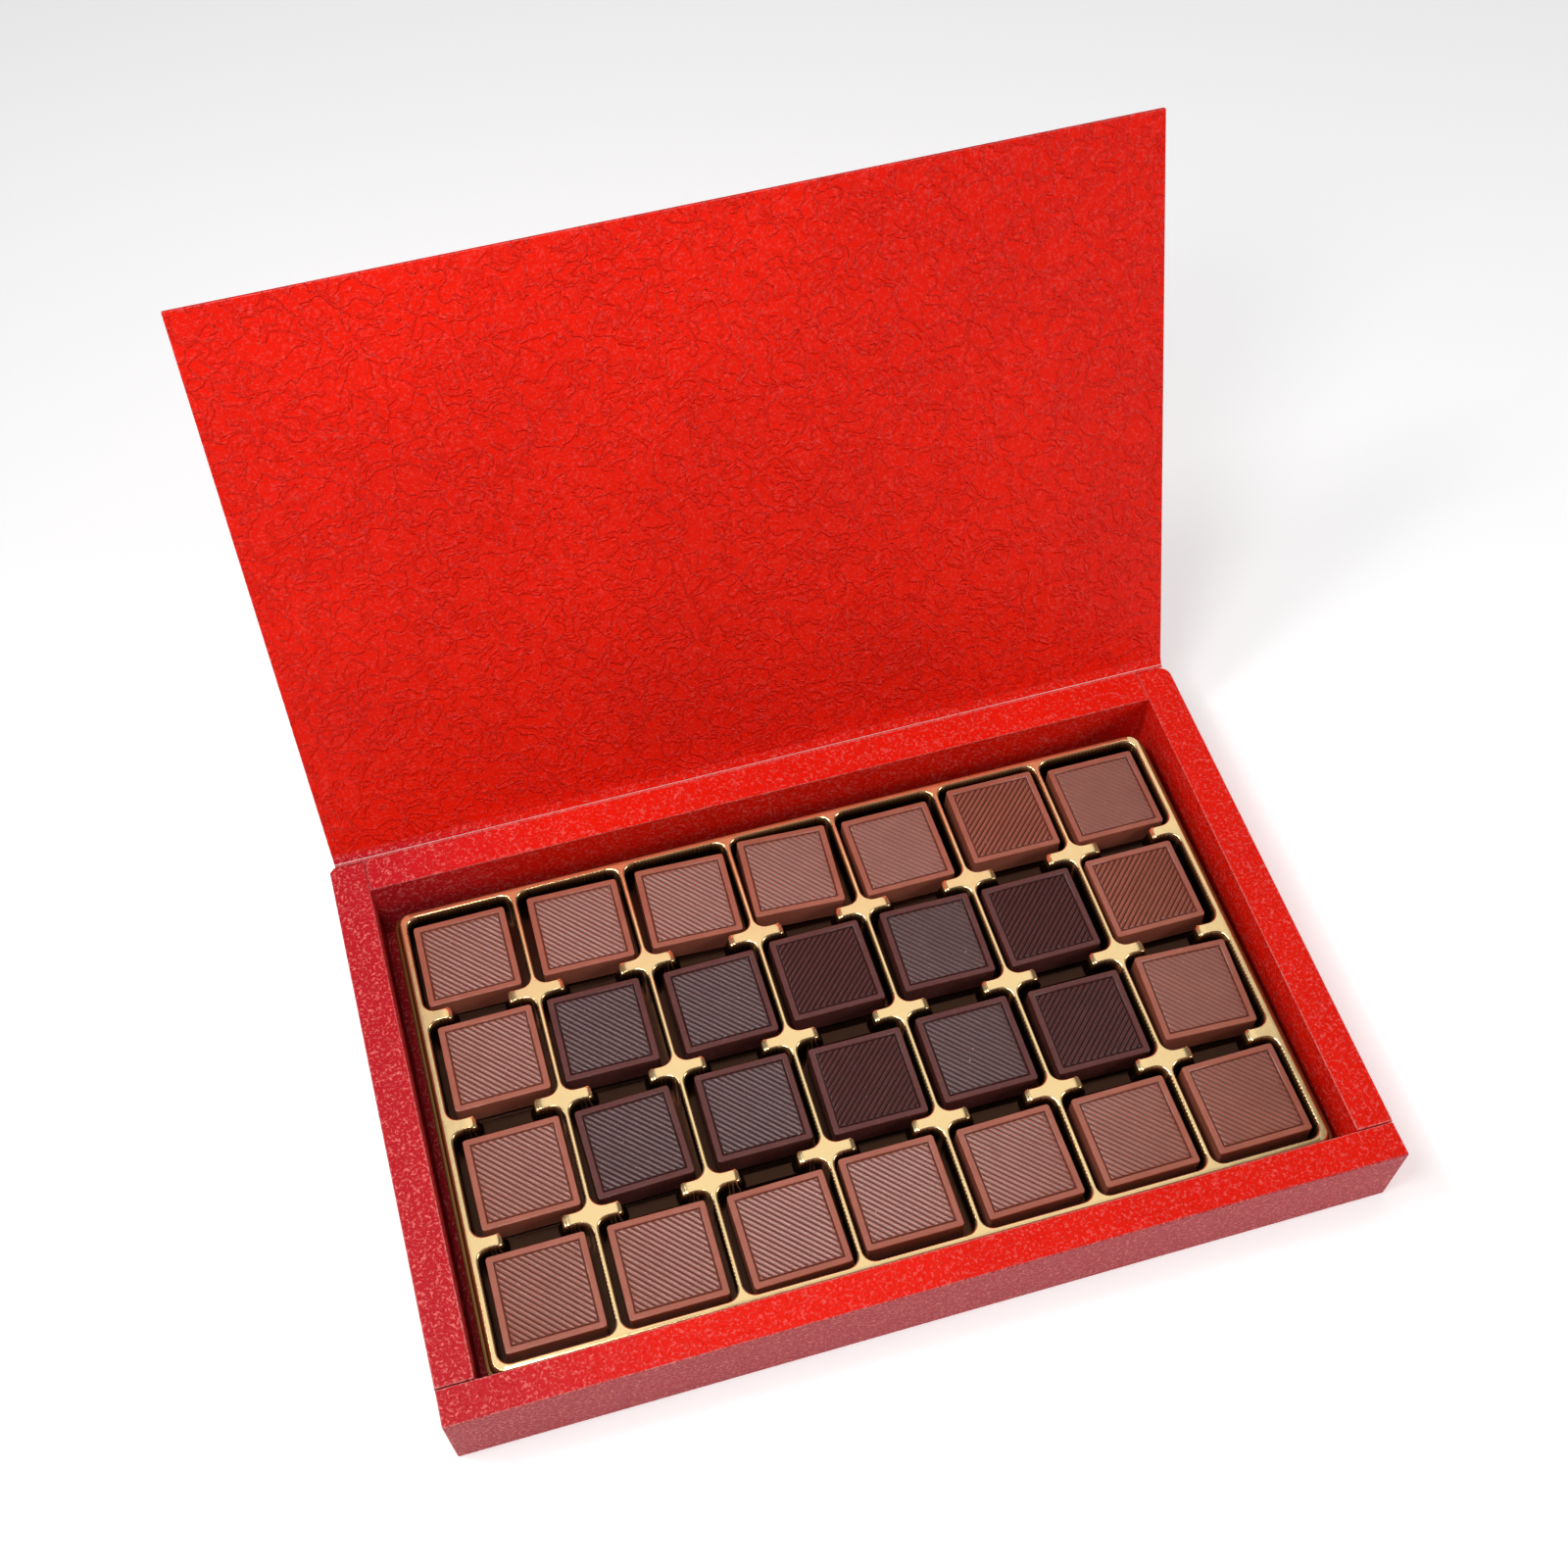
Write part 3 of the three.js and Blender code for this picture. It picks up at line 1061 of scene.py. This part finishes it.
    def _loft(
        self,
        bm: Mesh,
        count: int,
        place: Callable[[int, Level], Vector],
        levels: Sequence[Level],
    ) -> None:
        """Extrudes a closed outline down level by level, and closes it at the last one.

        Args:
            bm: the mesh that it is added to.
            count: how many points the outline has.
            place: gives a point's place at a level.
            levels: the levels from the top down.
        """
        index = bm.verts.layers.int.get("place") or bm.verts.layers.int.new("place")
        verts = []
        for number in range(count):
            vert = bm.verts.new(place(number, levels[0]))
            vert[index] = number
            verts.append(vert)
        edges = [bm.edges.new((verts[i], verts[(i + 1) % count])) for i in range(count)]
        for level in levels[1:]:
            made = bmesh.ops.extrude_edge_only(bm, edges=edges)["geom"]
            fresh = {g for g in made if isinstance(g, Vert)}
            for vert in fresh:
                vert.co = place(vert[index], level)
            edges = edges_of(fresh)
        bmesh.ops.contextual_create(bm, geom=edges)

    def _border_outline(self) -> list[tuple[Vector, Vector]]:
        """The border's outer outline as places and outward directions, clockwise."""
        half_x = (self.columns * self.pitch_x - self.divider) / 2 + self.border - self.border_corner
        half_y = (self.rows * self.pitch_y - self.row_bar) / 2 + self.border - self.border_corner
        points = []
        for corner, (sign_x, sign_y) in enumerate(((1, 1), (1, -1), (-1, -1), (-1, 1))):
            middle = Vector((sign_x * half_x, self.middle_y + sign_y * half_y))
            for step in range(self.border_steps + 1):
                angle = math.radians(90 - 90 * corner - 90 * step / self.border_steps)
                out = Vector((math.cos(angle), math.sin(angle)))
                points.append((middle + out * self.border_corner, out))
        return points

    def _skirt(self, bm: Mesh) -> None:
        """Adds the border's outer side, the ledge and the wall below it."""
        outline = self._border_outline()
        drop = self.ledge_drop
        grow = self.border_draft
        outer = grow + self.ledge
        # Depths below the top, each with how far out of the border's outline the side is there.
        steps = (
            (0, -0.5),
            (0.03, -0.42),
            (0.10, -0.24),
            (0.22, -0.10),
            (0.45, 0),
            (0.95, 0.1),
            (drop - 0.5, grow - 0.15),
            (drop - 0.12, grow),
            (drop, grow + 0.2),
            (drop - 0.02, outer - 0.35),
            (drop + 0.06, outer - 0.1),
            (drop + 0.3, outer),
            (self.top - self.base, outer),
        )

        def place(number: int, level: Level) -> Vector:
            """Where the outline's point is at a level, whose turn is its shift outwards."""
            spot, out = outline[number]
            return Vector((*(spot + out * level.turn), self.top - level.depth))

        self._loft(bm, len(outline), place, [Level(*step) for step in steps])

    def _close_top(self, bm: Mesh) -> None:
        """Closes the flat top between the pockets and the border.

        The top is cut at the middle of every column, which leaves one face without holes to
        either side of each cut.

        Args:
            bm: the mesh, whose open edges at the top are the pockets' and the border's.
        """

        def level(vert: Vert) -> bool:
            """Whether a vertex lies in the top."""
            return abs(vert.co.z - self.top) < self.top_band

        middles = [self.pocket_x(column) for column in range(1, self.columns + 1)]
        for middle in middles:
            open_edges = [e for e in bm.edges if e.is_boundary and all(level(v) for v in e.verts)]
            bmesh.ops.bisect_plane(
                bm,
                geom=[*open_edges, *{v for e in open_edges for v in e.verts}],
                dist=self.near / 2,
                plane_co=(middle, 0, 0),
                plane_no=(1, 0, 0),
            )
            on_cut = [v for v in bm.verts if level(v) and abs(v.co.x - middle) < self.near]
            on_cut.sort(key=lambda v: v.co.y)
            bm.edges.new(on_cut[:2])
            bm.edges.new(on_cut[-2:])
        bounds = [-math.inf, *middles, math.inf]
        for low, high in zip(bounds, bounds[1:]):
            edges = []
            for edge in bm.edges:
                x = sum(vert.co.x for vert in edge.verts) / 2
                between = low - self.near < x < high + self.near
                if between and len(edge.link_faces) < 2 and all(level(v) for v in edge.verts):
                    edges.append(edge)
            sheet = bmesh.ops.contextual_create(bm, geom=edges)["faces"]
            bmesh.ops.triangulate(bm, faces=sheet)

    def _bridges(self, bm: Mesh) -> None:
        """Adds the low bridges between the arms' ends."""
        half_x = self.arm_end_x - self.arm_flare / 2
        half_y = self.row_bar / 2 + self.bridge_lap
        high = self.top - self.bridge_drop
        root = self.top - self.pocket_depth - self.bridge_root
        for column in range(1, self.columns + 1):
            for row in range(1, self.rows):
                x = self.pocket_x(column)
                y = (self.pocket_y(row) + self.pocket_y(row + 1)) / 2
                verts = block(bm, (x - half_x, y - half_y, root), (x + half_x, y + half_y, high))
                rims = [e for e in edges_of(verts) if all(v.co.z > high - self.top_band for v in e.verts)]
                soften(bm, rims, self.bridge_round)

    def build(self) -> Mesh:
        """Makes the tray's mesh."""
        bm = bmesh.new()
        for column in range(1, self.columns + 1):
            outline = self._column_outline(column)
            middle = self.pocket_x(column)

            def place(number: int, level: Level) -> Vector:
                """Where the wall's point is at a level."""
                return self._wall_place(outline[number], level, middle)

            self._loft(bm, len(outline), place, self.levels)
        lips = [v for v in bm.verts if v.co.z > self.top - 2]
        bmesh.ops.remove_doubles(bm, verts=lips, dist=self.near)
        self._skirt(bm)
        self._close_top(bm)
        bmesh.ops.recalc_face_normals(bm, faces=bm.faces[:])
        self._bridges(bm)
        return bm

    def dress(self, maker: Maker) -> None:
        """Adds the tray."""
        maker.piece("tray", self.build(), GoldFilm(), Slot.GOLD, CARTON, ["gold_tray"], sharp_deg=28)


# The chocolates


@dataclass(frozen=True)
class Lie:
    """How a chocolate lies in its pocket: drift in millimetres, angles in degrees."""

    x: float
    y: float
    turn: float
    tilt_x: float
    tilt_y: float
    size: float


@dataclass(frozen=True)
class Filling:
    """The square chocolates, row 1 at the back and column 1 at the left."""

    tray: Tray
    side: float = 29
    draft: float = 0.25
    corner: float = 0.9
    thickness: float = 8.1
    frame_width: float = 1.65
    field_gap: float = 0.45
    field_depth: float = 0.6
    field_root: float = 0.5
    # The frame's inner side slopes down this far over this width, and then drops to the field.
    slope_width: float = 0.40
    slope_drop: float = 0.42
    slope_foot: float = 0.08
    rim_round: float = 0.28
    frame_round: float = 0.08
    ridge_pitch: float = 1.48
    cut_reach: float = 0.0001
    # How uneven the top is: each noise's fineness and height, how deep it reaches, and how far
    # apart two chocolates' noises are taken.
    unevenness: tuple[tuple[float, float], ...] = ((0.09, 0.05), (0.9, 0.018))
    uneven_depth: float = 1.2
    uneven_step: Place = (37.1, 53.7, 5.3)
    clearance: float = 0.3
    tilt_deg: float = 0.35
    turn_deg: float = 0.6
    size_spread: float = 0.004
    drift: float = 0.9
    plan: tuple[str, ...] = ("mmmmmmm", "mdddddm", "mdddddm", "mmmmmmm")
    ridge_run: tuple[str, ...] = ("bbbbbfb", "bbbfbff", "bbbfbfb", "bbbbbbb")
    # Turns of the few chocolates that lie visibly turned, in degrees, by row and column.
    turned: tuple[tuple[int, int, float], ...] = (
        (1, 2, -1),
        (1, 3, -2),
        (1, 4, -3),
        (2, 5, -1),
        (3, 2, 1.5),
        (3, 7, -2.5),
        (4, 3, 1),
        (4, 5, 1),
    )
    # A ridge's section across one pitch: share of the pitch, and height over the frame.
    section: tuple[tuple[float, float], ...] = (
        (0.0, -0.58),
        (0.06, -0.55),
        (0.13, -0.46),
        (0.25, -0.33),
        (0.45, -0.225),
        (0.65, -0.125),
        (0.80, -0.05),
        (0.86, -0.08),
        (0.91, -0.34),
        (0.96, -0.55),
    )
    groove_top: float = -0.10
    groove_floor: float = -0.40
    ridge_rows: int = 26
    # Where the ridges' ends are cut across, so that they can be rounded down.
    end_round: float = 0.42
    end_cuts: tuple[float, ...] = (0.05, 0.13, 0.25, 0.42)
    crumbs_each: int = 2
    crumb_radius: float = 0.17
    crumb_spread: float = 0.6
    crumb_height: float = 0.55
    crumb_reach: float = 12

    @property
    def top(self) -> float:
        """The height of the chocolates' tops."""
        return self.tray.top - self.tray.pocket_depth + 2 * self.clearance + self.thickness

    @staticmethod
    def spread(row: int, column: int, kind: int) -> float:
        """A repeatable value between -1 and 1 for one of a chocolate's small differences."""
        angle = sum(number * weight for number, weight in zip((row, column, kind), SCATTER))
        value = math.sin(angle) * SCATTER_SCALE
        return 2 * (value - math.floor(value)) - 1

    def lie(self, row: int, column: int) -> Lie:
        """How the chocolate lies, by the same rule as its solid."""
        special = {(r, c): angle for r, c, angle in self.turned}
        turn = special.get((row, column), self.turn_deg * self.spread(row, column, 1))
        size = 1 + self.size_spread * self.spread(row, column, 2)
        foot = self.side / 2 * size + self.draft
        angle = math.radians(abs(turn))
        reach = foot * (math.cos(angle) + math.sin(angle))

        def play(pocket_side: float) -> float:
            """The furthest drift that stays clear of the pocket."""
            half = pocket_side / 2 - self.tray.pocket_draft
            corner_room = (self.tray.pocket_corner - self.clearance - self.corner) / math.sqrt(2)
            corner_reach = foot - self.corner - (half - self.tray.pocket_corner)
            return min(self.drift, half - self.clearance - reach, corner_room - corner_reach)

        return Lie(
            play(self.tray.pitch_x - self.tray.divider) * self.spread(row, column, 5),
            play(self.tray.pitch_y - self.tray.row_bar) * self.spread(row, column, 6),
            turn,
            self.tilt_deg * self.spread(row, column, 3),
            self.tilt_deg * self.spread(row, column, 4),
            size,
        )

    def _slab(self, bm: Mesh) -> None:
        """The chocolate's body with its raised frame."""
        half = self.side / 2
        verts = block(bm, (-half, -half, -self.thickness), (half, half, 0))
        foot = [v for v in verts if v.co.z < -self.thickness / 2]
        grow = 1 + self.draft / half
        bmesh.ops.scale(bm, vec=(grow, grow, 1), verts=foot)
        top = max(bm.faces, key=lambda f: f.calc_center_median().z)
        bmesh.ops.inset_region(bm, faces=[top], thickness=self.frame_width, use_even_offset=True)
        frame_edges = list(top.edges)
        rest = self.field_depth - self.slope_drop
        for inset, sink in ((self.slope_width, self.slope_drop), (self.slope_foot, rest)):
            bmesh.ops.inset_region(bm, faces=[top], thickness=inset, use_even_offset=True)
            bmesh.ops.translate(bm, vec=(0, 0, -sink), verts=list(top.verts))
        posts = [e for e in bm.edges if abs(e.verts[0].co.z - e.verts[1].co.z) > self.thickness / 2]
        soften(bm, posts, self.corner, 4)
        inside = half - self.corner - TOUCH
        outer = edges_where(bm, lambda co: co.z > -TOUCH and max(abs(co.x), abs(co.y)) > inside)
        soften(bm, [e for e in outer if e.calc_face_angle(0) > math.radians(60)], self.rim_round)
        soften(bm, [e for e in frame_edges if e.is_valid], self.frame_round, 2)

    def _field(self, bm: Mesh) -> None:
        """The field of diagonal ridges in the frame."""
        half = self.side / 2 - self.frame_width - self.field_gap
        steps = len(self.section)
        ridges = 2 * math.ceil(half * math.sqrt(2) / self.ridge_pitch) + 2
        cells = ridges * steps
        made = bmesh.ops.create_grid(bm, x_segments=cells, y_segments=self.ridge_rows, size=1)["verts"]
        length = ridges * self.ridge_pitch
        for vert in made:
            ridge, step = divmod(round((vert.co.x + 1) / 2 * cells), steps)
            share, height = self.section[step]
            across = (ridge + share) * self.ridge_pitch - length / 2
            vert.co = Vector((across, vert.co.y * length / 2, height))
        bmesh.ops.transform(bm, matrix=Matrix.Rotation(math.radians(45), 4, "Z"), verts=made)
        own = set(made)
        cuts = [(0.0, True)] + [(cut, False) for cut in self.end_cuts]
        for cut, clear in cuts:
            for normal in (Vector((1, 0, 0)), Vector((0, 1, 0)), Vector((-1, 0, 0)), Vector((0, -1, 0))):
                faces = {f for v in own for f in v.link_faces}
                edges = {e for v in own for e in v.link_edges}
                done = bmesh.ops.bisect_plane(
                    bm,
                    geom=[*own, *edges, *faces],
                    dist=self.cut_reach,
                    plane_co=normal * (half - cut),
                    plane_no=normal,
                    clear_outer=clear,
                )
                left = [*done["geom"], *done["geom_cut"]]
                own = {g for g in left if isinstance(g, Vert) and g.is_valid}
        floor = -self.field_depth - TOUCH
        for vert in own:
            inside = half - max(abs(vert.co.x), abs(vert.co.y))
            vert.co.z = floor + (vert.co.z - floor) * rounded(inside / self.end_round)
        rim = [e for e in edges_of(own) if e.is_boundary]
        low = [g for g in bmesh.ops.extrude_edge_only(bm, edges=rim)["geom"] if isinstance(g, Vert)]
        for vert in low:
            vert.co.z = floor - self.field_root
        bmesh.ops.contextual_create(bm, geom=edges_of(low))

    def mould(self) -> Mesh:
        """Makes the chocolate's shape, its top at height 0."""
        bm = bmesh.new()
        groove = bm.verts.layers.float.new(GROOVE)
        self._slab(bm)
        self._field(bm)
        bmesh.ops.recalc_face_normals(bm, faces=bm.faces[:])
        # The groove layer marks how deep a point lies in the field, for the finish's painted shade.
        inner = self.side / 2 - self.frame_width
        for vert in bm.verts:
            if max(abs(vert.co.x), abs(vert.co.y)) < inner:
                share = (self.groove_top - vert.co.z) / (self.groove_top - self.groove_floor)
                vert[groove] = min(1.0, max(0.0, share))
        return bm

    def cast(self, mould: Mesh, row: int, column: int) -> Mesh:
        """Makes one chocolate in its place, a little uneven in its own way."""
        bm = mould.copy()
        step_x, step_y, step_z = self.uneven_step
        own = Vector((row * step_x, column * step_y, step_z))
        for vert in bm.verts:
            if vert.co.z > -self.uneven_depth:
                vert.co.z += sum(high * noise.noise(vert.co * fine + own) for fine, high in self.unevenness)
        lie = self.lie(row, column)
        quarter = 90 if Run(self.ridge_run[row - 1][column - 1]) is Run.FORWARD else 0
        spot = Vector((self.tray.pocket_x(column) + lie.x, self.tray.pocket_y(row) + lie.y, self.top))
        turn = (
            Matrix.Rotation(math.radians(lie.tilt_x), 4, "X")
            @ Matrix.Rotation(math.radians(lie.tilt_y), 4, "Y")
            @ Matrix.Rotation(math.radians(lie.turn + quarter), 4, "Z")
        )
        size = Matrix.Diagonal((lie.size, lie.size, 1, 1))
        bmesh.ops.transform(bm, matrix=Matrix.Translation(spot) @ turn @ size, verts=bm.verts)
        return bm

    def dress(self, maker: Maker) -> None:
        """Adds the chocolates."""
        finishes = {Kind.MILK: (MILK, Slot.MILK), Kind.DARK: (DARK, Slot.DARK)}
        mould = self.mould()
        for row in range(1, self.tray.rows + 1):
            for column in range(1, self.tray.columns + 1):
                finish, slot = finishes[Kind(self.plan[row - 1][column - 1])]
                bm = self.cast(mould, row, column)
                node = f"chocolate_r{row}_c{column}"
                maker.piece(f"praline_r{row}_c{column}", bm, finish, slot, CARTON, [node], sharp_deg=50)
        mould.free()
        maker.piece("crumbs", self._crumbs(), CRUMB, Slot.MILK, CARTON)

    def _crumbs(self) -> Mesh:
        """The few tiny crumbs that lie on the chocolates."""
        bm = bmesh.new()
        for row in range(1, self.tray.rows + 1):
            for column in range(1, self.tray.columns + 1):
                middle = Vector((self.tray.pocket_x(column), self.tray.pocket_y(row), self.top))
                for kind in range(self.crumbs_each):
                    first = 10 + 4 * kind
                    across, along, size, flat = (self.spread(row, column, first + n) for n in range(4))
                    spot = middle + Vector((across, along, 0)) * self.crumb_reach
                    shape = Matrix.Diagonal((1, 0.75 + 0.25 * flat, self.crumb_height, 1))
                    turn = Matrix.Rotation(math.pi * flat, 4, "Z")
                    bmesh.ops.create_icosphere(
                        bm,
                        subdivisions=1,
                        radius=self.crumb_radius * (1 + self.crumb_spread * size),
                        matrix=Matrix.Translation(spot) @ turn @ shape,
                    )
        return bm


# The studio


@dataclass(frozen=True)
class Softbox:
    """A square soft light: its middle, its side and its brightness, in metres and watts."""

    name: str
    place: Place
    size: float
    power: float
    colour: Colour = (1, 1, 1)

    def build(self, aim: Vector) -> None:
        """Adds the light, facing a point."""
        data = bpy.data.lights.new(self.name, "AREA")
        data.shape = "SQUARE"
        data.size = self.size
        data.energy = self.power
        data.color = self.colour
        made = bpy.data.objects.new(self.name, data)
        made.location = self.place
        made.rotation_euler = (aim - Vector(self.place)).to_track_quat("-Z", "Y").to_euler()
        bpy.context.scene.collection.objects.link(made)


@dataclass(frozen=True)
class Studio:
    """The pale floor, the soft lights and the camera, in metres, degrees and watts."""

    eye: Place = (-0.088904, -0.249386, 0.533814)
    elevation: float = 57.345
    azimuth: float = 13.589
    roll: float = -2.442
    lens_mm: float = 43.378
    sensor_mm: float = 36
    shift: tuple[float, float] = (0.02566, 0.03453)
    reach: tuple[float, float] = (0.01, 50)
    floor_size: float = 12
    floor_colour: Colour = (0.80, 0.80, 0.80)
    floor_glow: float = 0.5
    floor_rough: float = 0.9
    world: float = 0.10
    aim: Place = (0, 0, 0.03)
    softboxes: tuple[Softbox, ...] = (
        Softbox("high_left", (-0.45, 0.10, 0.80), 0.15, 2.1),
        Softbox("key", (-0.18, -0.12, 0.55), 0.16, 1.35),
        Softbox("high_back", (0.19, 0.51, 1.07), 0.85, 2.1),
        Softbox("window", (-0.9, 0.1, 0.35), 0.3, 1.2, (0.80, 0.88, 1.0)),
        Softbox("fill", (0.88, -0.39, 0.42), 0.4, 4.2),
    )

    def camera(self) -> None:
        """Adds the camera at the photograph's view."""
        data = bpy.data.cameras.new("view")
        data.sensor_width = self.sensor_mm
        data.lens = self.lens_mm
        data.shift_x, data.shift_y = self.shift
        data.clip_start, data.clip_end = self.reach
        made = bpy.data.objects.new("view", data)
        turn = (
            Matrix.Rotation(math.radians(-self.azimuth), 4, "Z")
            @ Matrix.Rotation(math.radians(90 - self.elevation), 4, "X")
            @ Matrix.Rotation(math.radians(self.roll), 4, "Z")
        )
        made.matrix_world = Matrix.Translation(Vector(self.eye)) @ turn
        bpy.context.scene.collection.objects.link(made)
        bpy.context.scene.camera = made

    def floor(self) -> None:
        """Adds the floor."""
        bm = bmesh.new()
        bmesh.ops.create_grid(bm, x_segments=1, y_segments=1, size=self.floor_size / 2)
        mesh = bpy.data.meshes.new("floor")
        bm.to_mesh(mesh)
        bm.free()
        paint = Paint("floor")
        white = (*self.floor_colour, 1)
        glow = {"Emission_Color": white, "Emission_Strength": self.floor_glow}
        mesh.materials.append(paint.close(Base_Color=white, Roughness=self.floor_rough, **glow))
        made = bpy.data.objects.new("floor", mesh)
        bpy.context.scene.collection.objects.link(made)

    def build(self) -> None:
        """Sets up the studio."""
        world = bpy.data.worlds.new("studio")
        world.use_nodes = True
        background = world.node_tree.nodes["Background"]
        background.inputs["Color"].default_value = (1, 1, 1, 1)
        background.inputs["Strength"].default_value = self.world
        bpy.context.scene.world = world
        bpy.context.scene.view_settings.view_transform = "Standard"
        self.camera()
        self.floor()
        for softbox in self.softboxes:
            softbox.build(Vector(self.aim))


def main() -> None:
    """Builds the box."""
    logging.basicConfig(level=logging.INFO, format="%(name)s: %(message)s")
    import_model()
    Studio().build()
    maker = Maker()
    carton = Carton()
    tray = Tray()
    carton.dress(maker)
    Lid(carton).dress(maker)
    tray.dress(maker)
    Filling(tray).dress(maker)


if __name__ == "__main__":
    main()
